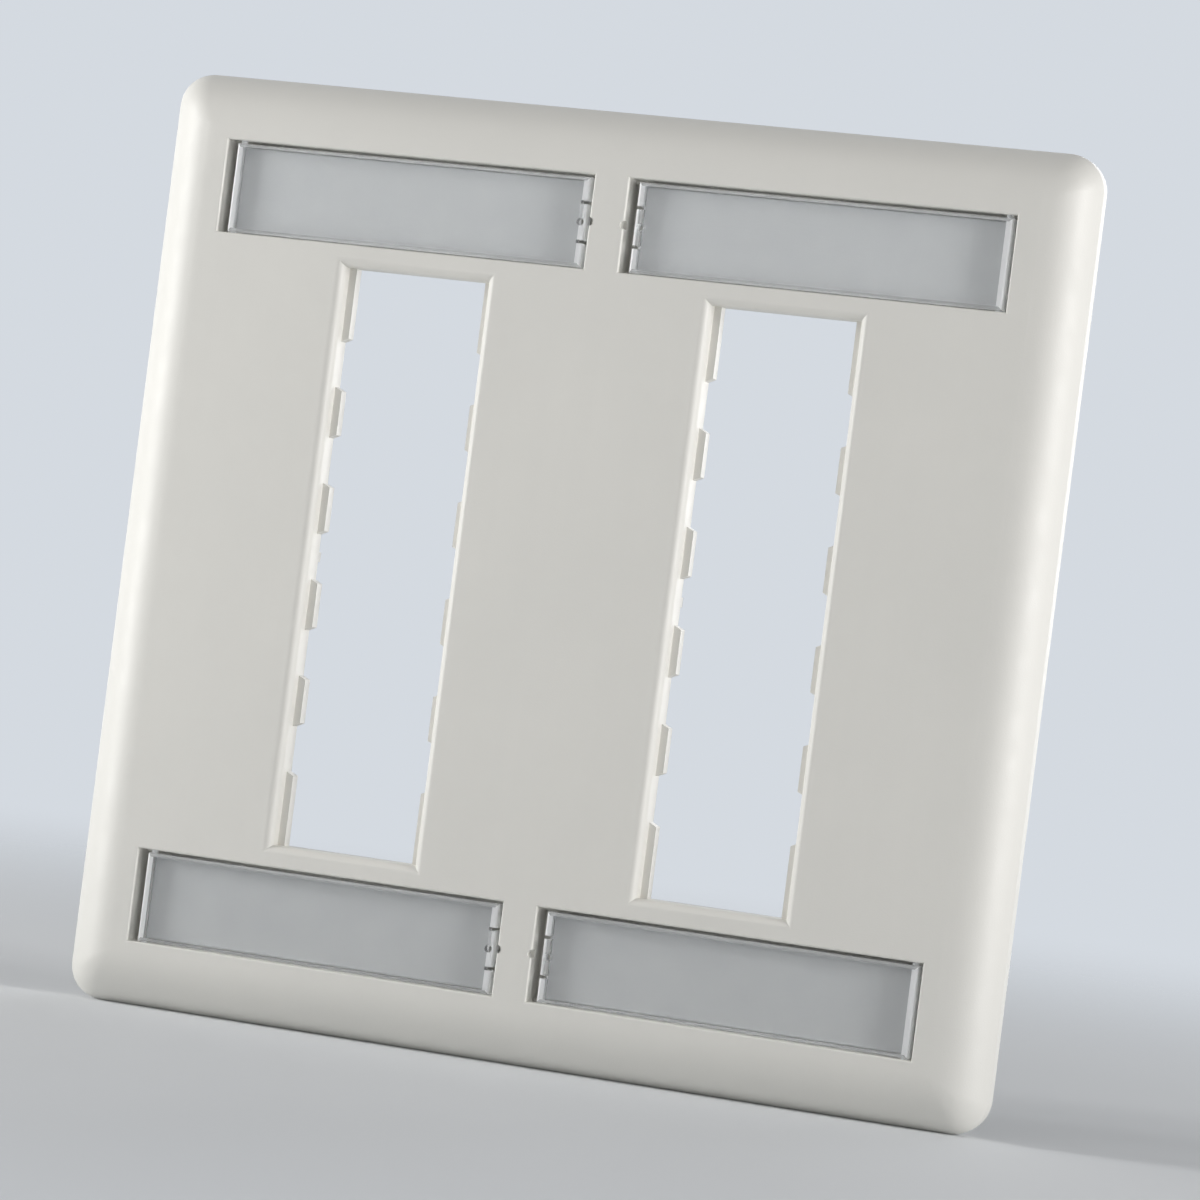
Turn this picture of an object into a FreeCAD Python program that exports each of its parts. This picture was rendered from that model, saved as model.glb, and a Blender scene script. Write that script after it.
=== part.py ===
import FreeCAD, Part
import math
import os
import re

import Sketcher

# Double-gang wall faceplate for snap-in jacks, made as one moulding with four hinged
# label windows.
#
# Frame: the plate stands as it does on a wall. X runs to the right, Z up, and the front
# looks along -Y. The origin is the middle of the back plane, which lies on the wall.
# "Height" below is the distance of a plane in front of the wall, and "depth" the distance
# of a plane behind the flat front face.

sizes = {
    # outline and rounded border
    "plateWidth": 115.8,
    "plateHeight": 114.3,
    "plateDepth": 6.5,
    "outlineCorner": 4.4,       # rounding of the four outer corners
    "edgeHeight": 1.8,          # straight edge that stands on the wall
    "borderWidth": 6.9,         # width of the rounded border, edge to flat face
    # hollow back
    "faceWall": 2.2,
    "rimWall": 1.9,
    "rimStraight": 1.3,         # height of the rim's upright inner face
    "rimSlope": 2.6,            # how far the hollow narrows from there to the face wall
    "hollowCorner": 2.4,
    # gangs and jack openings
    "gangPitch": 46.04,
    "openingWidth": 18.26,
    "openingRound": 1.15,       # rounding of the opening's front edge
    "modulePitch": 11.7,
    "moduleCount": 6,
    "seatDepth": 2.2,           # depth of the rails that carry the jacks
    "railThick": 1.6,
    "railReach": 0.9,           # how far the rails stand into the opening
    "notchLength": 5.5,         # notch between two teeth, at the bottom
    "notchFlank": 0.45,         # run of each sloping flank
    "frameWall": 1.6,
    # label windows
    "windowLength": 47.0,
    "windowHeight": 11.3,
    "windowRise": 43.4,         # height of a window's middle above the plate's middle
    "windowBridge": 4.3,        # face left between a left and a right window
    "windowDepth": 2.9,
    "windowRound": 0.25,        # rounding of the window's front edge
    "windowFloor": 1.6,
    "windowWall": 1.4,
    "grooveWidth": 1.2,         # groove in the floor at each end
    "grooveDepth": 1.0,
    "grooveMargin": 0.4,
    "scoopRadius": 0.5,         # pry scoop in the bridge
    "scoopDepth": 1.4,
    # box screws
    "screwSpacing": 83.34,
    "screwHole": 4.0,
    "screwHead": 7.2,
    "screwHeadAngle": 82.0,
    "bossRadius": 5.2,
    # stiffening ribs in the hollow
    "ribThick": 1.2,
    "ribHeight": 2.0,           # height at which the ribs start above the wall
    # label covers
    "coverSunk": 0.1,           # front of the cover below the flat face
    "coverThick": 1.1,
    "coverEndGap": 0.85,        # a cover's play at each end, when it is in the middle
    "coverSideGap": 0.25,
    "coverShift": 0.4,          # the covers lie at the right and low ends of their play
    "coverDrop": 0.12,
    "coverFloorGap": 0.9,
    "coverRound": 0.45,         # rounding of the cover's front edge
    "skirtEnd": 0.8,            # walls round the cover's back
    "skirtSide": 0.4,
    "pryRadius": 0.45,          # round pry hole at the inner end
    "pryInset": 0.7,            # its middle to the cover's end
    "slitWidth": 0.4,           # slits that free the latch tongue
    "slitLength": 0.9,
    "slitSpacing": 4.7,
    "pinDiameter": 0.8,         # hinge pins at the outer end
    "pinInset": 0.6,            # pin axis to the cover's outer end
    "pinSunk": 0.9,             # pin axis below the cover's front
    "pinSeat": 0.5,             # length of a pin inside its socket
    "pinClearance": 0.1,
    # label cards, held in the covers
    "cardThick": 0.25,
    "cardEndGap": 0.1,          # card's end to the cover's skirt
    "cardSideGap": 0.1,
}

# Sizes that follow from those above, as formulas of the same names.
derived = {
    "borderDrop": "plateDepth - edgeHeight",
    "hollowHeight": "plateDepth - faceWall",
    "openingHeight": "modulePitch * moduleCount",
    "frameBack": "plateDepth - seatDepth - railThick",
    "seatHeight": "plateDepth - seatDepth",
    "windowInner": "windowBridge / 2",
    "windowOuter": "windowInner + windowLength",
    "windowMiddle": "windowInner + windowLength / 2",
    "floorHeight": "plateDepth - windowDepth",
    "boxBack": "floorHeight - windowFloor",
    "coverLength": "windowLength - 2 * coverEndGap",
    "coverWidth": "windowHeight - 2 * coverSideGap",
    "coverDepth": "windowDepth - coverSunk - coverFloorGap",
    "coverFront": "plateDepth - coverSunk",
    "pinReach": "coverSideGap + pinSeat",
    "pinOffset": "windowOuter - coverEndGap - pinInset",
    "pinHeight": "coverFront - pinSunk",
    "socketWidth": "pinDiameter + 2 * (coverShift + pinClearance)",
    "socketDepth": "pinDiameter + 2 * pinClearance",
    "socketReach": "pinSeat + coverDrop + pinClearance",
    "cardLength": "coverLength - 2 * skirtEnd - 2 * cardEndGap",
    "cardWidth": "coverWidth - 2 * skirtSide - 2 * cardSideGap",
}

doc = FreeCAD.newDocument("faceplate")
sheet = doc.addObject("Spreadsheet::Sheet", "Sizes")
for row, (name, value) in enumerate(sizes.items(), start=1):
    sheet.set(f"A{row}", name)
    sheet.set(f"B{row}", str(value))
    sheet.setAlias(f"B{row}", name)
doc.recompute()


def formula(text):
    """Writes a formula of plain size names as an expression on the sheet."""
    def expand(match):
        word = match.group(0)
        if word in derived:
            return "(" + formula(derived[word]) + ")"
        return "Sizes." + word if word in sizes else word
    return re.sub(r"[A-Za-z]\w*", expand, text)


def amount(text):
    """The present value of a formula, in mm."""
    return float(sheet.evalExpression(formula(text)))


def bind(item, prop, text):
    item.setExpression(prop, formula(text))


def originPlane(body, role):
    return next(item for item in body.Origin.OriginFeatures if item.Role == role)


def newSketch(body, name, height="0"):
    """A sketch parallel to the wall, at a height in front of it; its axes are X and Z."""
    sketch = body.newObject("Sketcher::SketchObject", name)
    sketch.AttachmentSupport = (originPlane(body, "XZ_Plane"), [""])
    sketch.MapMode = "FlatFace"
    bind(sketch, "AttachmentOffset.Base.z", height)
    return sketch


def dimension(sketch, kind, places, text):
    """Adds a dimension whose value is a formula."""
    index = sketch.addConstraint(Sketcher.Constraint(kind, *places, amount(text)))
    bind(sketch, f"Constraints[{index}]", text)


def place(sketch, geometry, point, x=None, z=None):
    """Ties a point to the sketch's origin across, up, or both."""
    if x is not None:
        dimension(sketch, "DistanceX", (-1, 1, geometry, point), x)
    if z is not None:
        dimension(sketch, "DistanceY", (-1, 1, geometry, point), z)


def addCircle(sketch, x, z, radius):
    centre = FreeCAD.Vector(amount(x), amount(z), 0)
    index = sketch.addGeometry(Part.Circle(centre, FreeCAD.Vector(0, 0, 1), amount(radius)))
    place(sketch, index, 3, x, z)
    dimension(sketch, "Radius", (index,), radius)


def addPolygon(sketch, corners):
    """A closed outline whose corners are pairs of formulas."""
    points = [FreeCAD.Vector(amount(x), amount(z), 0) for x, z in corners]
    first = sketch.GeometryCount
    count = len(points)
    for index in range(count):
        sketch.addGeometry(Part.LineSegment(points[index], points[(index + 1) % count]))
    for index in range(count):
        following = first + (index + 1) % count
        sketch.addConstraint(Sketcher.Constraint("Coincident", first + index, 2, following, 1))
    for index, (x, z) in enumerate(corners):
        place(sketch, first + index, 1, x, z)


def addChain(sketch, corners):
    """An open run of straight lines whose corners are pairs of formulas."""
    points = [FreeCAD.Vector(amount(x), amount(z), 0) for x, z in corners]
    first = sketch.GeometryCount
    for start, end in zip(points, points[1:]):
        sketch.addGeometry(Part.LineSegment(start, end))
    for index in range(len(points) - 2):
        line = first + index
        sketch.addConstraint(Sketcher.Constraint("Coincident", line, 2, line + 1, 1))
    for index, (x, z) in enumerate(corners[:-1]):
        place(sketch, first + index, 1, x, z)
    place(sketch, first + len(points) - 2, 2, *corners[-1])


def addRectangle(sketch, left, right, low, high):
    addPolygon(sketch, [(left, low), (right, low), (right, high), (left, high)])


def addRounded(sketch, left, right, low, high, radius):
    """A rectangle with four equal round corners."""
    x0, x1, z0, z1, r = (amount(text) for text in (left, right, low, high, radius))
    first = sketch.GeometryCount
    normal = FreeCAD.Vector(0, 0, 1)
    quarter = math.pi / 2
    sides = [
        ((x0 + r, z0), (x1 - r, z0)),
        ((x1, z0 + r), (x1, z1 - r)),
        ((x1 - r, z1), (x0 + r, z1)),
        ((x0, z1 - r), (x0, z0 + r)),
    ]
    centres = [(x1 - r, z0 + r), (x1 - r, z1 - r), (x0 + r, z1 - r), (x0 + r, z0 + r)]
    for number, (start, end) in enumerate(sides):
        sketch.addGeometry(Part.LineSegment(FreeCAD.Vector(*start), FreeCAD.Vector(*end)))
        circle = Part.Circle(FreeCAD.Vector(*centres[number]), normal, r)
        begin = (number - 1) * quarter
        sketch.addGeometry(Part.ArcOfCircle(circle, begin, begin + quarter))
    for number in range(4):
        line = first + 2 * number
        arc = line + 1
        following = first + (2 * number + 2) % 8
        sketch.addConstraint(Sketcher.Constraint("Tangent", line, 2, arc, 1))
        sketch.addConstraint(Sketcher.Constraint("Tangent", arc, 2, following, 1))
        if number:
            sketch.addConstraint(Sketcher.Constraint("Equal", first + 1, arc))
    sketch.addConstraint(Sketcher.Constraint("Horizontal", first))
    sketch.addConstraint(Sketcher.Constraint("Vertical", first + 2))
    sketch.addConstraint(Sketcher.Constraint("Horizontal", first + 4))
    sketch.addConstraint(Sketcher.Constraint("Vertical", first + 6))
    dimension(sketch, "Radius", (first + 1,), radius)
    place(sketch, first, 1, z=low)
    place(sketch, first + 2, 1, x=right)
    place(sketch, first + 4, 1, z=high)
    place(sketch, first + 6, 1, x=left)


def addCentred(sketch, x, z, width, height, radius=None):
    """A rectangle about a middle point, with round corners if a radius is given."""
    edges = [
        f"({x}) - ({width}) / 2",
        f"({x}) + ({width}) / 2",
        f"({z}) - ({height}) / 2",
        f"({z}) + ({height}) / 2",
    ]
    if radius:
        addRounded(sketch, *edges, radius)
    else:
        addRectangle(sketch, *edges)


def pad(body, name, sketch, length):
    """Adds material from the sketch towards the front."""
    feature = body.newObject("PartDesign::Pad", name)
    feature.Profile = sketch
    bind(feature, "Length", length)
    doc.recompute()
    return feature


def pocket(body, name, sketch, depth, towardsFront=False, midplane=False):
    """Cuts from the sketch towards the wall, towards the front, or both ways."""
    before = body.Shape.Volume
    feature = body.newObject("PartDesign::Pocket", name)
    feature.Profile = sketch
    feature.Reversed = towardsFront
    feature.Midplane = midplane
    bind(feature, "Length", depth)
    doc.recompute()
    if body.Shape.Volume >= before:
        raise RuntimeError(f"{name} cuts nothing")
    return feature


def fillet(body, name, chosen, radius):
    """Rounds the edges of the body's last feature that the test chooses."""
    base = body.Tip
    edges = [
        f"Edge{number}"
        for number, edge in enumerate(base.Shape.Edges, start=1)
        if chosen(edge.BoundBox)
    ]
    feature = body.newObject("PartDesign::Fillet", name)
    feature.Base = (base, edges)
    bind(feature, "Radius", radius)
    doc.recompute()
    return feature


# ---- the moulded plate -----------------------------------------------------------------

plate = doc.addObject("PartDesign::Body", "faceplate")
plate.Label = "faceplate"

gangs = [(-1, "Left"), (1, "Right")]
windows = [
    (-1, 1, "top_left"),
    (1, 1, "top_right"),
    (-1, -1, "bottom_left"),
    (1, -1, "bottom_right"),
]


def outline(body, name, height, inset, radius):
    """An outline of the plate, drawn in from its edge on all sides."""
    sketch = newSketch(body, name, height)
    across = f"plateWidth - 2 * ({inset})"
    upright = f"plateHeight - 2 * ({inset})"
    addCentred(sketch, "0", "0", across, upright, radius)
    return sketch


block = newSketch(plate, "BlockOutline")
addCentred(block, "0", "0", "plateWidth", "plateHeight")
pad(plate, "Block", block, "plateDepth")


def borderCut(role, name, span, along):
    """Rounds the two opposite borders that run along one axis.

    What is cut away lies outside a circle that meets the flat face smoothly and comes down
    to the straight edge.
    """
    sketch = plate.newObject("Sketcher::SketchObject", f"{name}Profile")
    sketch.AttachmentSupport = (originPlane(plate, role), [""])
    sketch.MapMode = "FlatFace"
    turned = role == "YZ_Plane"
    radius = amount("(borderWidth^2 + borderDrop^2) / (2 * borderDrop)")
    swing = math.asin(amount("borderWidth") / radius)
    out = amount(f"{span} / 2 - borderWidth")
    up = radius - amount("plateDepth")
    straight = math.pi if turned else -math.pi / 2
    for hand in (-1, 1):
        centre = FreeCAD.Vector(up, hand * out, 0) if turned else FreeCAD.Vector(hand * out, up, 0)
        tilted = straight + hand * swing * (-1 if turned else 1)
        inner, outer = (1, 2) if straight < tilted else (2, 1)
        circle = Part.Circle(centre, FreeCAD.Vector(0, 0, 1), radius)
        limits = sorted((straight, tilted))
        curve = sketch.addGeometry(Part.ArcOfCircle(circle, *limits))
        corners = [
            (f"{hand} * {span} / 2", "-edgeHeight"),
            (f"{hand} * ({span} / 2 + borderWidth)", "-edgeHeight"),
            (f"{hand} * ({span} / 2 + borderWidth)", "-plateDepth - borderWidth"),
            (f"{hand} * ({span} / 2 - borderWidth)", "-plateDepth - borderWidth"),
            (f"{hand} * ({span} / 2 - borderWidth)", "-plateDepth"),
        ]
        if turned:
            corners = [(rise, run) for run, rise in corners]
        addChain(sketch, corners)
        last = sketch.GeometryCount - 1
        sketch.addConstraint(Sketcher.Constraint("Coincident", curve, outer, curve + 1, 1))
        sketch.addConstraint(Sketcher.Constraint("Coincident", curve, inner, last, 2))
        above = corners[-1][1 if turned else 0]
        place(sketch, curve, 3, **{"z" if turned else "x": above})
    pocket(plate, name, sketch, along, midplane=True)


borderCut("YZ_Plane", "LongBorders", "plateHeight", "plateWidth + borderWidth")
borderCut("XY_Plane", "SideBorders", "plateWidth", "plateHeight + borderWidth")

# The borders meet in mitres, which are rounded with the upright corners: sharp at the face
# and full at the edge.
cornerSpan = amount("borderWidth") * 1.01
fillet(
    plate,
    "Corners",
    lambda box: box.XLength < cornerSpan and box.ZLength < cornerSpan,
    "outlineCorner",
)

# The back is hollow: upright at the wall, then sloping in under the border.
hollow = [
    outline(plate, "HollowMouth", "0", "rimWall", "hollowCorner"),
    outline(plate, "HollowStep", "rimStraight", "rimWall", "hollowCorner"),
    outline(plate, "HollowTop", "hollowHeight", "rimWall + rimSlope", "hollowCorner"),
]
cavity = plate.newObject("PartDesign::SubtractiveLoft", "Hollow")
cavity.Profile = hollow[0]
cavity.Sections = hollow[1:]
cavity.Ruled = True
doc.recompute()

# Stiffening ribs, one upright between the gangs and one across at mid height. Each is
# drawn from its side, so that its ends follow the hollow's sloping walls.
for role, name, span in (
    ("YZ_Plane", "UprightRib", "plateHeight"),
    ("XY_Plane", "CrossRib", "plateWidth"),
):
    ribSide = plate.newObject("Sketcher::SketchObject", f"{name}Side")
    ribSide.AttachmentSupport = (originPlane(plate, role), [""])
    ribSide.MapMode = "FlatFace"
    foot = f"{span} / 2 - rimWall"
    crest = f"{span} / 2 - rimWall - rimSlope"
    top = "-(hollowHeight + faceWall / 2)"
    corners = [
        (f"-({foot})", "-ribHeight"),
        (f"-({crest})", top),
        (crest, top),
        (foot, "-ribHeight"),
    ]
    if role == "YZ_Plane":
        corners = [(rise, run) for run, rise in corners]
    addPolygon(ribSide, corners)
    rib = pad(plate, name, ribSide, "ribThick")
    rib.Midplane = True
    doc.recompute()

# A frame behind each opening carries the rails.
frames = newSketch(plate, "FrameOutlines", "frameBack")
for side, name in gangs:
    addCentred(
        frames,
        f"{side} * gangPitch / 2",
        "0",
        "openingWidth + 2 * frameWall",
        "openingHeight + 2 * frameWall",
        "frameWall",
    )
pad(plate, "OpeningFrames", frames, "railThick + seatDepth / 2")

# Each label window is a tray let into the face; its floor stands behind the face wall.
trays = newSketch(plate, "TrayOutlines", "boxBack")
for side, level, name in windows:
    addCentred(
        trays,
        f"{side} * windowMiddle",
        f"{level} * windowRise",
        "windowLength + 2 * windowWall",
        "windowHeight + 2 * windowWall",
        "windowWall",
    )
pad(plate, "TrayWalls", trays, "windowFloor + windowDepth / 2")

# Bosses bring the screw holes back to the wall.
bosses = newSketch(plate, "BossCircles")
for side, level, name in windows:
    addCircle(bosses, f"{side} * gangPitch / 2", f"{level} * screwSpacing / 2", "bossRadius")
pad(plate, "ScrewBosses", bosses, "boxBack + windowFloor / 2")

# The jack openings: wide in front, and narrower between the rails behind.
mouths = newSketch(plate, "OpeningMouths", "plateDepth")
for side, name in gangs:
    addCentred(mouths, f"{side} * gangPitch / 2", "0", "openingWidth", "openingHeight")
pocket(plate, "JackOpenings", mouths, "seatDepth")

face = -amount("plateDepth")
touching = 0.001
mouthTop = amount("openingHeight") / 2 + touching
windowLow = amount("windowRise - windowHeight / 2") - touching
windowHigh = amount("windowRise + windowHeight / 2") + touching


def onFace(box):
    return abs(box.YMin - face) < touching and abs(box.YMax - face) < touching


def onMouth(box):
    return onFace(box) and max(abs(box.ZMin), abs(box.ZMax)) < mouthTop


def onWindow(box):
    low, high = sorted((abs(box.ZMin), abs(box.ZMax)))
    return onFace(box) and windowLow < low and high < windowHigh


fillet(plate, "OpeningRounding", onMouth, "openingRound")

throats = newSketch(plate, "OpeningThroats", "seatHeight")
for side, name in gangs:
    addCentred(
        throats,
        f"{side} * gangPitch / 2",
        "0",
        "openingWidth - 2 * railReach",
        "openingHeight",
    )
pocket(plate, "RailGap", throats, "railThick + frameBack")

# Notches part the rails into teeth, one behind the middle of each jack position.
notch = newSketch(plate, "NotchOutline", "seatHeight")
for side, name in gangs:
    middle = f"{side} * gangPitch / 2"
    level = "modulePitch * (moduleCount / 2 - 1)"
    wide = "notchLength / 2 + notchFlank"
    mouth = "openingWidth / 2 - railReach"
    addPolygon(
        notch,
        [
            (f"{middle} - openingWidth / 2", f"{level} - notchLength / 2"),
            (f"{middle} - ({mouth})", f"{level} - ({wide})"),
            (f"{middle} + ({mouth})", f"{level} - ({wide})"),
            (f"{middle} + openingWidth / 2", f"{level} - notchLength / 2"),
            (f"{middle} + openingWidth / 2", f"{level} + notchLength / 2"),
            (f"{middle} + ({mouth})", f"{level} + ({wide})"),
            (f"{middle} - ({mouth})", f"{level} + ({wide})"),
            (f"{middle} - openingWidth / 2", f"{level} + notchLength / 2"),
        ],
    )
firstNotch = pocket(plate, "Notch", notch, "railThick + frameBack")
notches = plate.newObject("PartDesign::LinearPattern", "Notches")
notches.Originals = [firstNotch]
notches.Direction = (notch, ["V_Axis"])
notches.Reversed = True
bind(notches, "Length", "modulePitch * (moduleCount - 2)")
bind(notches, "Occurrences", "moduleCount - 1")
plate.Tip = notches
doc.recompute()

# Label windows: the tray, a groove across its floor at each end and a pry scoop in the
# bridge.
recess = newSketch(plate, "WindowOutlines", "plateDepth")
grooves = newSketch(plate, "GrooveOutlines", "plateDepth")
scoops = newSketch(plate, "ScoopCircles", "plateDepth")
for side, level, name in windows:
    rise = f"{level} * windowRise"
    addCentred(recess, f"{side} * windowMiddle", rise, "windowLength", "windowHeight")
    for end in ("windowInner + grooveWidth / 2", "windowOuter - grooveWidth / 2"):
        addCentred(
            grooves,
            f"{side} * ({end})",
            rise,
            "grooveWidth",
            "windowHeight - 2 * grooveMargin",
        )
    addCircle(scoops, f"{side} * windowInner", rise, "scoopRadius")
pocket(plate, "Windows", recess, "windowDepth")
fillet(plate, "WindowRounding", onWindow, "windowRound")
pocket(plate, "PryScoops", scoops, "scoopDepth")
pocket(plate, "EndGrooves", grooves, "windowDepth + grooveDepth")

# Hinge sockets: slots in the long walls of a window, one above and one below each pin end.
# They are as wide as the play that a cover has along its window.
for level, name in ((1, "Top"), (-1, "Bottom")):
    sockets = plate.newObject("Sketcher::SketchObject", f"{name}SocketOutlines")
    sockets.AttachmentSupport = (originPlane(plate, "XY_Plane"), [""])
    sockets.MapMode = "FlatFace"
    bind(sockets, "AttachmentOffset.Base.z", f"{level} * windowRise")
    for side, gang in gangs:
        addCentred(
            sockets, f"{side} * pinOffset", "-pinHeight", "socketWidth", "socketDepth"
        )
    reach = "windowHeight + 2 * socketReach"
    pocket(plate, f"{name}HingeSockets", sockets, reach, midplane=True)

# Countersunk holes for the box screws, under the labels.
drills = newSketch(plate, "ScrewCentres", "floorHeight")
for side, level, name in windows:
    addCircle(drills, f"{side} * gangPitch / 2", f"{level} * screwSpacing / 2", "screwHole / 2")
doc.recompute()
holes = plate.newObject("PartDesign::Hole", "BoxScrewHoles")
holes.Profile = drills
holes.ThreadType = "None"
holes.DepthType = "ThroughAll"
holes.HoleCutType = "Countersink"
bind(holes, "Diameter", "screwHole")
bind(holes, "HoleCutDiameter", "screwHead")
bind(holes, "HoleCutCountersinkAngle", "screwHeadAngle")
doc.recompute()


# ---- the label covers ------------------------------------------------------------------

def labelCover(name, side, level):
    """A clear cover: a shallow tray with hinge pins at its outer end and a latch tongue.

    It is drawn for a right-hand window, about the window's middle, and turned half round
    for a left-hand one.
    """
    body = doc.addObject("PartDesign::Body", f"label_cover_{name}")
    body.Label = f"label_cover_{name}"
    sheetOutline = newSketch(body, f"CoverOutline_{name}", "coverFront - coverDepth")
    addCentred(sheetOutline, "0", "0", "coverLength", "coverWidth")
    pad(body, f"CoverBlock_{name}", sheetOutline, "coverDepth")

    front = -amount("coverFront")
    fillet(
        body,
        f"CoverRounding_{name}",
        lambda box: abs(box.YMin - front) < touching and abs(box.YMax - front) < touching,
        "coverRound",
    )

    inside = newSketch(body, f"CoverInside_{name}", "coverFront - coverDepth")
    addCentred(
        inside, "0", "0", "coverLength - 2 * skirtEnd", "coverWidth - 2 * skirtSide"
    )
    pocket(body, f"CoverHollow_{name}", inside, "coverDepth - coverThick", True)

    cuts = newSketch(body, f"PryAndSlits_{name}", "coverFront")
    addCircle(cuts, "-coverLength / 2 + pryInset", "0", "pryRadius")
    for hand in (-1, 1):
        addRectangle(
            cuts,
            "-coverLength / 2 - skirtEnd",
            "-coverLength / 2 + slitLength",
            f"{hand} * slitSpacing / 2 - slitWidth / 2",
            f"{hand} * slitSpacing / 2 + slitWidth / 2",
        )
    pocket(body, f"PryHole_{name}", cuts, "coverDepth")

    for hand, end in ((-1, "Lower"), (1, "Upper")):
        pin = body.newObject("PartDesign::AdditiveCylinder", f"{end}Pin_{name}")
        bind(pin, "Radius", "pinDiameter / 2")
        bind(pin, "Height", "pinReach + skirtSide / 2")
        pin.AttachmentSupport = (originPlane(body, "XY_Plane"), [""])
        pin.MapMode = "FlatFace"
        bind(pin, "AttachmentOffset.Base.x", "coverLength / 2 - pinInset")
        bind(pin, "AttachmentOffset.Base.y", "pinSunk - coverFront")
        start = "coverWidth / 2 - skirtSide / 2" if hand > 0 else "-coverWidth / 2 - pinReach"
        bind(pin, "AttachmentOffset.Base.z", start)
        doc.recompute()
    placeHanded(body, side, level)
    return body


def labelCard(name, side, level):
    """A paper label that lies behind the cover's clear front, inside its skirt."""
    body = doc.addObject("PartDesign::Body", f"label_card_{name}")
    body.Label = f"label_card_{name}"
    back = "coverFront - coverThick - cardThick"
    sheetOutline = newSketch(body, f"CardOutline_{name}", back)
    addCentred(sheetOutline, "0", "0", "cardLength", "cardWidth")
    pad(body, f"Card_{name}", sheetOutline, "cardThick")
    placeHanded(body, side, level)
    return body


def placeHanded(body, side, level):
    """Puts a window's piece in its place; left-hand ones are turned half round about Y."""
    bind(body, "Placement.Base.x", f"{side} * windowMiddle + coverShift")
    bind(body, "Placement.Base.z", f"{level} * windowRise - coverDrop")
    if side < 0:
        half = FreeCAD.Rotation(FreeCAD.Vector(0, 1, 0), 180)
        body.Placement = FreeCAD.Placement(body.Placement.Base, half)
    doc.recompute()


covers = [labelCover(name, side, level) for side, level, name in windows]
cards = [labelCard(name, side, level) for side, level, name in windows]

doc.recompute()
for item in doc.Objects:
    if "Invalid" in item.State or "Error" in item.State:
        raise RuntimeError(f"{item.Label} did not recompute: {item.State}")

os.makedirs("parts", exist_ok=True)
for body in [plate] + covers + cards:
    shape = body.Shape
    if shape.isNull() or not shape.isValid():
        raise RuntimeError(f"{body.Label} has no valid shape")
    shape.exportStep(f"parts/{body.Label}.step")
    print(body.Label, "solids", len(shape.Solids), "volume mm3", round(shape.Volume, 2))
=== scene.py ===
import bmesh
import bpy
import numpy as np
from mathutils import Matrix, Vector


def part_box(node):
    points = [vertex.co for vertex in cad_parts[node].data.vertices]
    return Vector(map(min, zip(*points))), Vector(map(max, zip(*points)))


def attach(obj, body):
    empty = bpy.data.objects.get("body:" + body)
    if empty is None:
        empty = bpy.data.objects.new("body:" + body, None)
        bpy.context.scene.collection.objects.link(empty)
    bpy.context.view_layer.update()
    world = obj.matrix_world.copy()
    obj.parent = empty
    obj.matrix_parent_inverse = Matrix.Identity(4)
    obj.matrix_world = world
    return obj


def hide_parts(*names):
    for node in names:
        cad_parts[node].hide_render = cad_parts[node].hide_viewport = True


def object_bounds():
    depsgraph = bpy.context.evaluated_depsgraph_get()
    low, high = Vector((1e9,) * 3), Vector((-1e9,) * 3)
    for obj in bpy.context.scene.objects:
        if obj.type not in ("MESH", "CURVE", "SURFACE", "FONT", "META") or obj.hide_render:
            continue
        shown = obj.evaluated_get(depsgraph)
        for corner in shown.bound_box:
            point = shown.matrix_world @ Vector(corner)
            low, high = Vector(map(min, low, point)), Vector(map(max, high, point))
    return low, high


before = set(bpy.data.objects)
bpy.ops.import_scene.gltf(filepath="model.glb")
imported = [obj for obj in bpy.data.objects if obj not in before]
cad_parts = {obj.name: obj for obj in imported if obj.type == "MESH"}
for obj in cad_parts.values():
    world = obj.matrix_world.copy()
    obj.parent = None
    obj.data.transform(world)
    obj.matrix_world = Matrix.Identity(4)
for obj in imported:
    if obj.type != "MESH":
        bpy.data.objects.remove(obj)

# A two-gang jack faceplate: one white moulding, four clear covers that swing on pins, and
# a paper card under each cover. Everything is in metres. X is to the right, Z is up, the
# front looks along -Y, and the wall is at y = 0.

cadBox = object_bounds()
scene = bpy.context.scene
scene.view_settings.view_transform = "Standard"
windowNames = ("top_left", "top_right", "bottom_left", "bottom_right")


# helpers for materials

def newMaterial(name):
    material = bpy.data.materials.new(name)
    material.use_nodes = True
    material.node_tree.nodes.clear()
    return material


def addNode(material, kind, values=None, **settings):
    node = material.node_tree.nodes.new("ShaderNode" + kind)
    for key, value in settings.items():
        setattr(node, key, value)
    for key, value in (values or {}).items():
        node.inputs[key].default_value = value
    return node


def wire(material, output, socket):
    material.node_tree.links.new(output, socket)


def objectPlace(material, stretch=(1, 1, 1)):
    # Object coordinates, stretched so that a pattern can run along one axis
    coords = addNode(material, "TexCoord")
    mapping = addNode(material, "Mapping", {"Scale": stretch})
    wire(material, coords.outputs["Object"], mapping.inputs["Vector"])
    return mapping.outputs["Vector"]


def noise(material, place, scale, detail=2.0, roughness=0.5):
    values = {"Scale": scale, "Detail": detail, "Roughness": roughness}
    node = addNode(material, "TexNoise", values)
    wire(material, place, node.inputs["Vector"])
    return node.outputs["Fac"]


def remap(material, value, low, high, start=0.3, end=0.7):
    node = addNode(
        material, "MapRange",
        {"From Min": start, "From Max": end, "To Min": low, "To Max": high},
    )
    wire(material, value, node.inputs["Value"])
    return node.outputs["Result"]


def mixColours(material, factor, first, second):
    node = addNode(material, "Mix", data_type="RGBA")
    for socket, colour in ((node.inputs[6], first), (node.inputs[7], second)):
        if isinstance(colour, tuple):
            socket.default_value = (*colour, 1)
        else:
            wire(material, colour, socket)
    wire(material, factor, node.inputs[0])
    return node.outputs[2]


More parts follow.
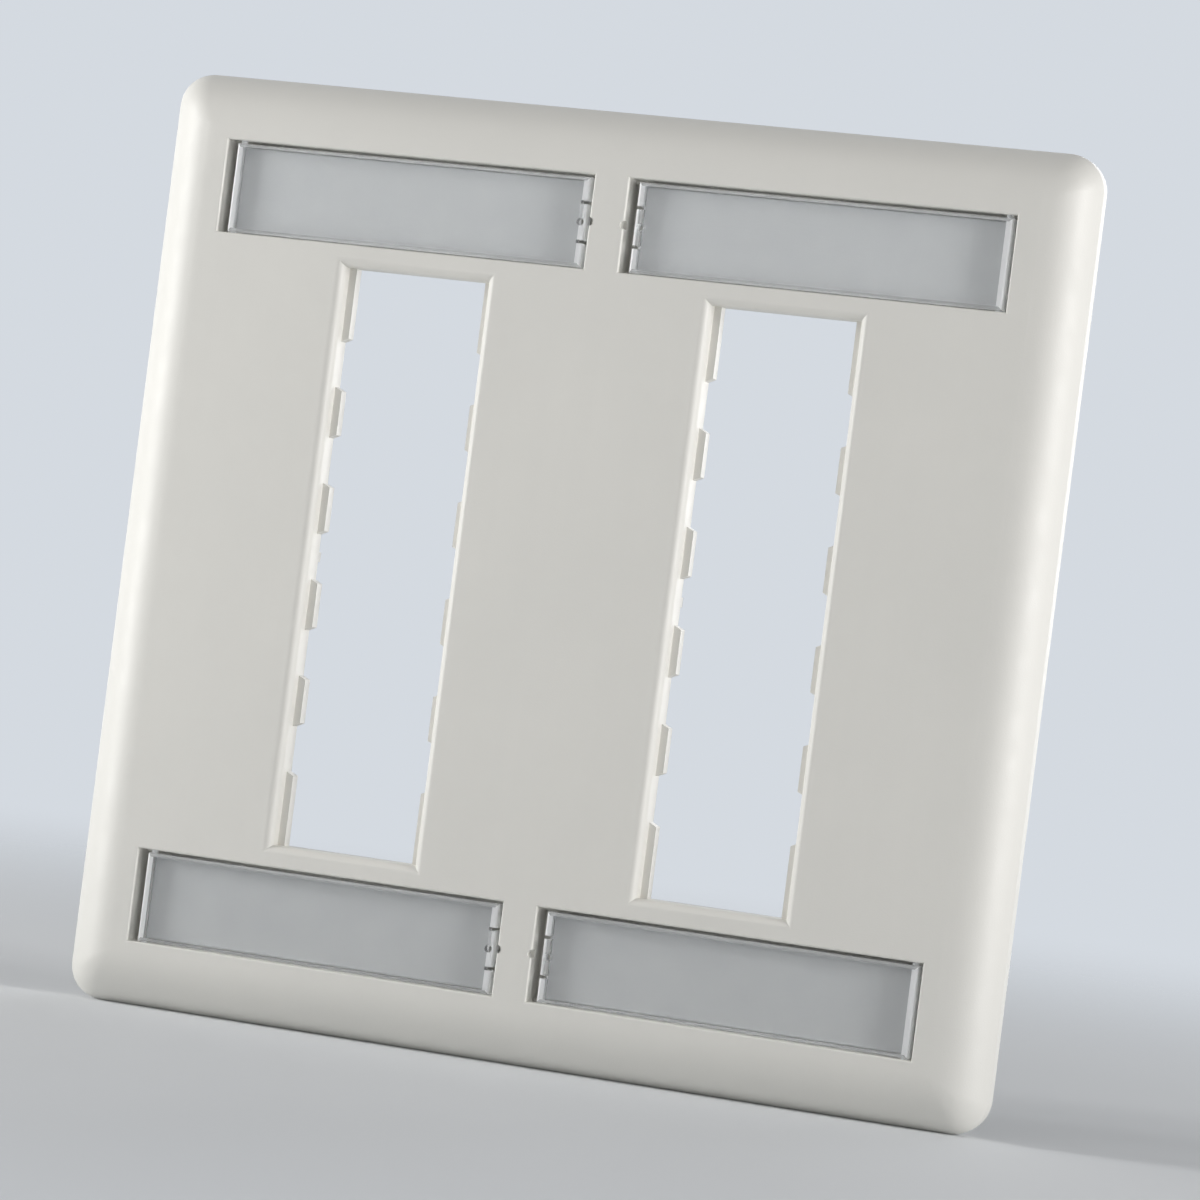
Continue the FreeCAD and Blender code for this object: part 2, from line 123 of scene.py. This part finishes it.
def bump(material, height, distance, normal=None):
    node = addNode(material, "Bump", {"Distance": distance, "Strength": 1.0})
    wire(material, height, node.inputs["Height"])
    if normal is not None:
        wire(material, normal, node.inputs["Normal"])
    return node.outputs["Normal"]


def finishMaterial(material, shader):
    output = addNode(material, "OutputMaterial")
    wire(material, shader, output.inputs["Surface"])
    return material


# helpers for meshes

def meshObject(name, points, faces, material):
    mesh = bpy.data.meshes.new(name)
    mesh.from_pydata(points.tolist(), [], faces.tolist())
    mesh.update()
    mesh.polygons.foreach_set("use_smooth", np.full(len(faces), True))
    mesh.materials.append(material)
    piece = bpy.data.objects.new(name, mesh)
    scene.collection.objects.link(piece)
    return piece


def gridFaces(rows, columns, start=0, flip=False):
    # quads of a grid of rows x columns points
    index = start + np.arange(rows * columns).reshape(rows, columns)
    quads = np.stack(
        [index[:-1, :-1], index[:-1, 1:], index[1:, 1:], index[1:, :-1]], axis=-1
    ).reshape(-1, 4)
    return quads[:, ::-1] if flip else quads


merging = {
    "distance": 2e-6,            # points closer than this are one
    "flat": np.radians(0.3),     # faces that meet at less than this become one
    "sharp": np.radians(30),     # edges above this get the fine round
}


def markSharp(shell, limit):
    for side in shell.edges:
        side.smooth = len(side.link_faces) == 2 and bool(side.calc_face_angle(0) < limit)


def mergedCopy(node, name, material, edge):
    # the node's triangles joined up: coplanar ones become one face, and a fine round runs
    # along each sharp edge
    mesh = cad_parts[node].data.copy()
    mesh.name = name
    shell = bmesh.new()
    shell.from_mesh(mesh)
    bmesh.ops.remove_doubles(shell, verts=shell.verts, dist=merging["distance"])
    bmesh.ops.dissolve_limit(
        shell, angle_limit=merging["flat"], verts=shell.verts, edges=shell.edges
    )
    for face in shell.faces:
        face.smooth = True
    markSharp(shell, merging["sharp"])
    shell.to_mesh(mesh)
    shell.free()
    mesh.materials.clear()
    mesh.materials.append(material)
    piece = bpy.data.objects.new(name, mesh)
    scene.collection.objects.link(piece)
    rounding = piece.modifiers.new("edge_round", "BEVEL")
    rounding.width = edge
    rounding.segments = 2
    rounding.limit_method = "ANGLE"
    rounding.angle_limit = merging["sharp"]
    weighted = piece.modifiers.new("flat_faces", "WEIGHTED_NORMAL")
    weighted.mode = "FACE_AREA"
    weighted.weight = 100
    weighted.keep_sharp = True
    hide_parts(node)
    return piece


# the camera, at the height and side from which the plate is looked at

view = {
    "place": (0.16162, -0.51441, -0.00165),
    "right": (0.94814, 0.29203, 0.12549),
    "up": (-0.11950, -0.03830, 0.99209),
    "lens": 135.27,
}
camera = bpy.data.objects.new("camera", bpy.data.cameras.new("camera"))
camera.data.lens = view["lens"]
camera.data.sensor_width = 36
camera.data.clip_start = 0.01
right = Vector(view["right"]).normalized()
up = Vector(view["up"])
up = (up - right * up.dot(right)).normalized()
turn = Matrix((right, up, right.cross(up))).transposed().to_4x4()
camera.matrix_world = Matrix.Translation(view["place"]) @ turn
scene.collection.objects.link(camera)
scene.camera = camera
print("camera set")


# the white moulding

moulding = {
    "colour": (0.815, 0.800, 0.752),
    "colourShade": (0.790, 0.777, 0.732),
    "roughness": (0.40, 0.50),
    "patchScale": 420,           # patches that are a little more or less rough
    "paintedSheenStreaks": (520, 520, 14),   # painted sheen: faint darker streaks that run up the plate, painted into the colour
    "paintedSheenShare": 0.35,
    "grainScale": 5200,          # fine spark-eroded grain, features about 0.2 mm
    "grainDepth": 0.000012,
    "waveScale": 60,             # the slow waviness that every moulding has
    "waveDepth": 0.00006,
    "edge": 0.00009,
}


def mouldingMaterial():
    material = newMaterial("moulding")
    place = objectPlace(material)
    broad = noise(material, place, moulding["waveScale"], 3)
    fine = noise(material, place, moulding["grainScale"], 3, 0.6)
    patches = noise(material, place, moulding["patchScale"], 2)
    paintedSheenStreaks = noise(material, objectPlace(material, moulding["paintedSheenStreaks"]), 1, 2)
    tone = mixColours(
        material, remap(material, broad, 0, 1), moulding["colour"], moulding["colourShade"]
    )
    # painted sheen: the colour is darkened in faint streaks that run up the plate
    tone = mixColours(
        material,
        remap(material, paintedSheenStreaks, 0, moulding["paintedSheenShare"]),
        tone,
        moulding["colourShade"],
    )
    normal = bump(material, broad, moulding["waveDepth"])
    normal = bump(material, fine, moulding["grainDepth"], normal)
    shader = addNode(material, "BsdfPrincipled", {"IOR": 1.5, "Specular IOR Level": 0.45})
    wire(material, tone, shader.inputs["Base Color"])
    wire(material, remap(material, patches, *moulding["roughness"]), shader.inputs["Roughness"])
    wire(material, normal, shader.inputs["Normal"])
    return finishMaterial(material, shader.outputs["BSDF"])


plateMaterial = mouldingMaterial()
plate = mergedCopy("faceplate", "moulded_plate", plateMaterial, moulding["edge"])
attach(plate, "plate")
print("plate made", len(plate.data.polygons), "faces")


# the clear covers

cover = {
    "tint": (0.965, 0.975, 0.98),
    "roughness": (0.05, 0.12),
    "hazeScale": 260,
    "rippleScale": 45,
    "rippleDepth": 0.00001,
    "frostScale": 2600,
    "frostDepth": 0.000006,
    "lampTint": (0.90, 0.915, 0.925),  # what a cover lets through to the card
    "sheetThick": 0.0011,
    "skirtGap": 0.0001,      # from the card's edge to the skirt
    "rimClear": 0.30,        # the skirt, and the sheet in front of it, are finely frosted
    "rimRoughness": 0.30,
    "rimPass": 0.22,         # the lamps' light that leaves a cover through its rim
    "longSides": 0.40,       # how much of that frosting the two long sides have
    "cutWalls": 0.15,        # and the walls of the pry hole and the slits
    "near": 1e-5,            # a face this close to a plane lies in it
    "nearSkirt": 2e-5,
    "edge": 0.00004,
}


def coverMaterial():
    material = newMaterial("clear_cover")
    place = objectPlace(material)
    haze = noise(material, place, cover["hazeScale"], 3)
    ripple = noise(material, place, cover["rippleScale"], 2)
    frost = noise(material, place, cover["frostScale"], 3, 0.6)
    rim = addNode(material, "Attribute", attribute_name="rim").outputs["Fac"]
    shader = addNode(
        material, "BsdfPrincipled", {"Base Color": (*cover["tint"], 1), "IOR": 1.5}
    )
    polished = remap(material, haze, *cover["roughness"])
    roughness = addNode(material, "MapRange", {"To Max": cover["rimRoughness"]})
    wire(material, rim, roughness.inputs["Value"])
    wire(material, polished, roughness.inputs["To Min"])
    wire(material, roughness.outputs["Result"], shader.inputs["Roughness"])
    clarity = addNode(material, "MapRange", {"To Min": 1.0, "To Max": cover["rimClear"]})
    wire(material, rim, clarity.inputs["Value"])
    wire(material, clarity.outputs["Result"], shader.inputs["Transmission Weight"])
    normal = bump(material, ripple, cover["rippleDepth"])
    normal = bump(material, frost, cover["frostDepth"], normal)
    wire(material, normal, shader.inputs["Normal"])
    # the sheet lets the lamps through to the card; the rim lets light out from inside the
    # cover, but throws a shadow into the gap beside it
    clear = addNode(material, "BsdfTransparent", {"Color": (*cover["lampTint"], 1)})
    path = addNode(material, "LightPath")
    side = addNode(material, "NewGeometry")
    rimShare = addNode(material, "Math", {1: cover["rimPass"]}, operation="MULTIPLY")
    wire(material, side.outputs["Backfacing"], rimShare.inputs[0])
    share = addNode(material, "MapRange", {"To Min": 1.0})
    wire(material, rim, share.inputs["Value"])
    wire(material, rimShare.outputs["Value"], share.inputs["To Max"])
    passes = addNode(material, "Math", operation="MULTIPLY")
    wire(material, path.outputs["Is Shadow Ray"], passes.inputs[0])
    wire(material, share.outputs["Result"], passes.inputs[1])
    mix = addNode(material, "MixShader")
    wire(material, passes.outputs["Value"], mix.inputs[0])
    wire(material, shader.outputs["BSDF"], mix.inputs[1])
    wire(material, clear.outputs["BSDF"], mix.inputs[2])
    return finishMaterial(material, mix.outputs["Shader"])


def markRim(lid, low, high):
    # the sheet's flat front is cut in line with the skirt's inner faces; inside that frame
    # the front and the inner side of the sheet are 0, the frosted ends are 1, and the long
    # sides and the cut walls lie between
    shell = bmesh.new()
    shell.from_mesh(lid.data)
    front = min(point.co.y for point in shell.verts)
    cuts = [(low.x, 1, 0), (high.x, 1, 0), (low.z, 0, 1), (high.z, 0, 1)]
    for place, acrossX, acrossZ in cuts:
        sheet = [face for face in shell.faces if face.normal.y < -0.999]
        sides = {side for face in sheet for side in face.edges}
        points = {point for face in sheet for point in face.verts}
        bmesh.ops.bisect_plane(
            shell,
            geom=[*sheet, *sides, *points],
            dist=1e-6,
            plane_co=(place * acrossX, front, place * acrossZ),
            plane_no=(acrossX, 0, acrossZ),
        )
    ends = [min(point.co.x for point in shell.verts), max(point.co.x for point in shell.verts)]
    rim = shell.faces.layers.float.new("rim")
    for face in shell.faces:
        middle, normal = face.calc_center_median(), face.normal
        depth = middle.y - front
        inside = low.x < middle.x < high.x and low.z < middle.z < high.z
        polished = inside and (
            (normal.y < -0.999 and depth < cover["near"])
            or (normal.y > 0.999 and abs(depth - cover["sheetThick"]) < cover["near"])
        )
        toSkirt = min(abs(middle.x - place) for place in (*ends, low.x, high.x))
        isCut = toSkirt > cover["nearSkirt"] and low.z < middle.z < high.z
        if polished:
            face[rim] = 0.0
        elif abs(normal.y) < 0.1 and isCut:
            face[rim] = cover["cutWalls"]
        elif abs(normal.z) > abs(normal.x):
            face[rim] = cover["longSides"]
        else:
            face[rim] = 1.0
    shell.to_mesh(lid.data)
    shell.free()


clearMaterial = coverMaterial()
for name in windowNames:
    lid = mergedCopy(f"label_cover_{name}", f"clear_cover_{name}", clearMaterial, cover["edge"])
    low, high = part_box(f"label_card_{name}")
    margin = Vector((cover["skirtGap"], 0, cover["skirtGap"]))
    markRim(lid, low - margin, high + margin)
    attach(lid, f"cover_{name}")
    print("cover made", name)


# the paper cards under the covers

card = {
    "colour": (0.525, 0.525, 0.52),
    "colourShade": (0.50, 0.50, 0.50),
    "roughness": 0.85,
    "cloudScale": 320,
    "fibres": (900, 900, 3600),
    "fibreDepth": 0.000012,
    "thick": 0.00013,
    "air": 0.00002,          # between the card and the clear front
    "bow": 0.00005,          # how far the middle hangs back from the clear front
    "sharp": np.radians(40),
    "rows": 14,
    "columns": 90,
    # place along the card, lean, width and height of each faint crease
    "creases": {
        "top_left": [(0.46, 0.10, 0.012, 0.000045), (0.33, 0.16, 0.014, 0.00003)],
        "top_right": [(0.30, 0.05, 0.016, 0.000025)],
        "bottom_left": [(0.58, -0.08, 0.018, 0.00002)],
        "bottom_right": [(0.40, 0.12, 0.016, 0.00002)],
    },
}


def paperMaterial():
    material = newMaterial("label_paper")
    place = objectPlace(material)
    cloud = noise(material, place, card["cloudScale"], 4, 0.6)
    fibre = noise(material, objectPlace(material, card["fibres"]), 1, 3, 0.6)
    tone = mixColours(
        material, remap(material, cloud, 0, 1), card["colour"], card["colourShade"]
    )
    shader = addNode(
        material,
        "BsdfPrincipled",
        {"Roughness": card["roughness"], "Specular IOR Level": 0.3},
    )
    wire(material, tone, shader.inputs["Base Color"])
    wire(material, bump(material, fibre, card["fibreDepth"]), shader.inputs["Normal"])
    return finishMaterial(material, shader.outputs["BSDF"])


def cardShell(name, low, high, creases, material):
    # front: the flat card, plus a bow that is a squared half sine wave along it, plus one
    # rounded furrow for each crease; back: the same grid, one paper thickness behind
    u, v = np.meshgrid(
        np.linspace(0, 1, card["columns"]), np.linspace(0, 1, card["rows"]), indexing="ij"
    )
    x = low.x + u * (high.x - low.x)
    z = low.z + v * (high.z - low.z)
    lift = card["bow"] * np.sin(np.pi * u) ** 2
    for place, lean, width, height in creases:
        lift = lift + height * np.exp(-(((u - place - lean * (v - 0.5)) / width) ** 2))
    depth = low.y + card["air"] + lift
    front = np.stack([x, depth, z], axis=-1)
    back = np.stack([x, depth + card["thick"], z], axis=-1)
    rows, columns = u.shape
    count = rows * columns
    index = np.arange(count).reshape(rows, columns)
    rim = np.concatenate([index[:, 0], index[-1, 1:], index[-2::-1, -1], index[0, -2:0:-1]])
    following = np.roll(rim, -1)
    walls = np.stack([rim, following, following + count, rim + count], axis=-1)
    faces = np.concatenate(
        [gridFaces(rows, columns), gridFaces(rows, columns, count, True), walls[:, ::-1]]
    )
    points = np.concatenate([front.reshape(-1, 3), back.reshape(-1, 3)])
    piece = meshObject(name, points, faces, material)
    shell = bmesh.new()
    shell.from_mesh(piece.data)
    bmesh.ops.recalc_face_normals(shell, faces=shell.faces)
    markSharp(shell, card["sharp"])
    shell.to_mesh(piece.data)
    shell.free()
    return piece


cardMaterial = paperMaterial()
for name in windowNames:
    low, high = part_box(f"label_card_{name}")
    paper = cardShell(f"paper_card_{name}", low, high, card["creases"][name], cardMaterial)
    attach(paper, f"cover_{name}")
    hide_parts(f"label_card_{name}")
print("cards made")


# the floor and the surroundings

studio = {
    "paleColour": (0.66, 0.70, 0.75),
    "floorColour": (0.80, 0.82, 0.84),
    "floorFade": (0.08, 0.42),  # the floor passes into the backdrop between these distances
    "floorRadius": 1.6,
    "floorDrop": 0.00002,       # how far the floor lies below the plate
    "floorRings": 24,
    "floorSpokes": 64,
    "fill": 0.16,
    "fillColour": (0.93, 0.96, 1.0),
}


def floorDisc():
    # rings of points round the middle; the radius grows as a square, from none to its full
    level = cadBox[0].z - studio["floorDrop"]
    rings, spokes = studio["floorRings"], studio["floorSpokes"]
    ring, spoke = np.meshgrid(np.linspace(0.02, 1, rings), np.arange(spokes), indexing="ij")
    radius = studio["floorRadius"] * ring ** 2
    angle = 2 * np.pi * spoke / spokes
    points = np.stack(
        [radius * np.cos(angle), radius * np.sin(angle), np.full(radius.shape, level)],
        axis=-1,
    ).reshape(-1, 3)
    index = np.arange(rings * spokes).reshape(rings, spokes)
    near, far = index[:-1], index[1:]
    quads = np.stack([near, far, np.roll(far, -1, 1), np.roll(near, -1, 1)], axis=-1)
    hub = len(points)
    points = np.concatenate([points, [[0, 0, level]]])
    middle = np.stack([index[0], np.roll(index[0], -1), np.full(spokes, hub)], axis=-1)
    faces = quads.reshape(-1, 4).tolist() + middle.tolist()
    mesh = bpy.data.meshes.new("floor")
    mesh.from_pydata(points.tolist(), [], faces)
    mesh.update()
    piece = bpy.data.objects.new("floor", mesh)
    scene.collection.objects.link(piece)
    return piece


def floorMaterial():
    material = newMaterial("floor")
    coords = addNode(material, "TexCoord")
    length = addNode(material, "VectorMath", operation="LENGTH")
    wire(material, coords.outputs["Object"], length.inputs[0])
    fade = addNode(
        material, "MapRange",
        {"From Min": studio["floorFade"][0], "From Max": studio["floorFade"][1]},
        interpolation_type="SMOOTHSTEP",
    )
    wire(material, length.outputs["Value"], fade.inputs["Value"])
    # seen from below it is clear as well
    below = addNode(material, "NewGeometry")
    away = addNode(material, "Math", operation="MAXIMUM")
    wire(material, fade.outputs["Result"], away.inputs[0])
    wire(material, below.outputs["Backfacing"], away.inputs[1])
    matte = addNode(material, "BsdfDiffuse", {"Color": (*studio["floorColour"], 1)})
    gone = addNode(material, "BsdfTransparent")
    mix = addNode(material, "MixShader")
    wire(material, away.outputs["Value"], mix.inputs[0])
    wire(material, matte.outputs["BSDF"], mix.inputs[1])
    wire(material, gone.outputs["BSDF"], mix.inputs[2])
    return finishMaterial(material, mix.outputs["Shader"])


floor = floorDisc()
floor.data.materials.append(floorMaterial())

world = bpy.data.worlds.new("studio")
scene.world = world
world.use_nodes = True
world.node_tree.nodes.clear()
nodes, join = world.node_tree.nodes, world.node_tree.links.new
path = nodes.new("ShaderNodeLightPath")
fillLight = nodes.new("ShaderNodeBackground")
fillLight.inputs["Color"].default_value = (*studio["fillColour"], 1)
fillLight.inputs["Strength"].default_value = studio["fill"]
backdrop = nodes.new("ShaderNodeBackground")
backdrop.inputs["Color"].default_value = (*studio["paleColour"], 1)
backdrop.inputs["Strength"].default_value = 1.0


def worldMath(operation, first, second):
    node = nodes.new("ShaderNodeMath")
    node.operation = operation
    for socket, value in zip(node.inputs, (first, second)):
        if isinstance(value, float):
            socket.default_value = value
        else:
            join(value, socket)
    return node.outputs[0]


# the pale backdrop shows to the eye, in reflections and through glass, but light that has
# already left a matt surface meets the plain fill, so that the cards aren't lit by it
direct = worldMath("MAXIMUM", path.outputs["Is Camera Ray"], path.outputs["Is Glossy Ray"])
direct = worldMath("MAXIMUM", direct, path.outputs["Is Transmission Ray"])
unscattered = worldMath("LESS_THAN", path.outputs["Diffuse Depth"], 0.5)
mix = nodes.new("ShaderNodeMixShader")
output = nodes.new("ShaderNodeOutputWorld")
join(worldMath("MULTIPLY", direct, unscattered), mix.inputs[0])
join(fillLight.outputs[0], mix.inputs[1])
join(backdrop.outputs[0], mix.inputs[2])
join(mix.outputs[0], output.inputs["Surface"])

# each lamp: direction from the plate, distance, width, height, watts, colour
lamps = {
    "right_lamp": ((0.974, -0.225, 0.07), 0.75, 0.16, 0.60, 4.7, (1.0, 0.99, 0.985)),
    "left_lamp": ((-0.945, -0.326, 0.07), 0.55, 0.16, 0.50, 3.0, (1.0, 0.995, 0.985)),
    "top_lamp": ((-0.15, -0.55, 0.82), 0.80, 0.60, 0.35, 0.65, (1.0, 0.97, 0.93)),
    "back_lamp": ((0.20, 0.94, 0.27), 0.80, 0.60, 0.50, 2.0, (0.985, 0.99, 1.0)),
}
for name, (direction, distance, width, height, watts, colour) in lamps.items():
    lamp = bpy.data.lights.new(name, "AREA")
    lamp.shape = "RECTANGLE"
    lamp.size, lamp.size_y = width, height
    lamp.energy = watts
    lamp.color = colour
    stand = bpy.data.objects.new(name, lamp)
    aim = Vector(direction).normalized()
    stand.location = aim * distance
    stand.rotation_euler = aim.to_track_quat("Z", "Y").to_euler()
    stand.visible_camera = False
    stand.visible_transmission = False  # the covers already pass its light to the cards
    scene.collection.objects.link(stand)
print("studio set")
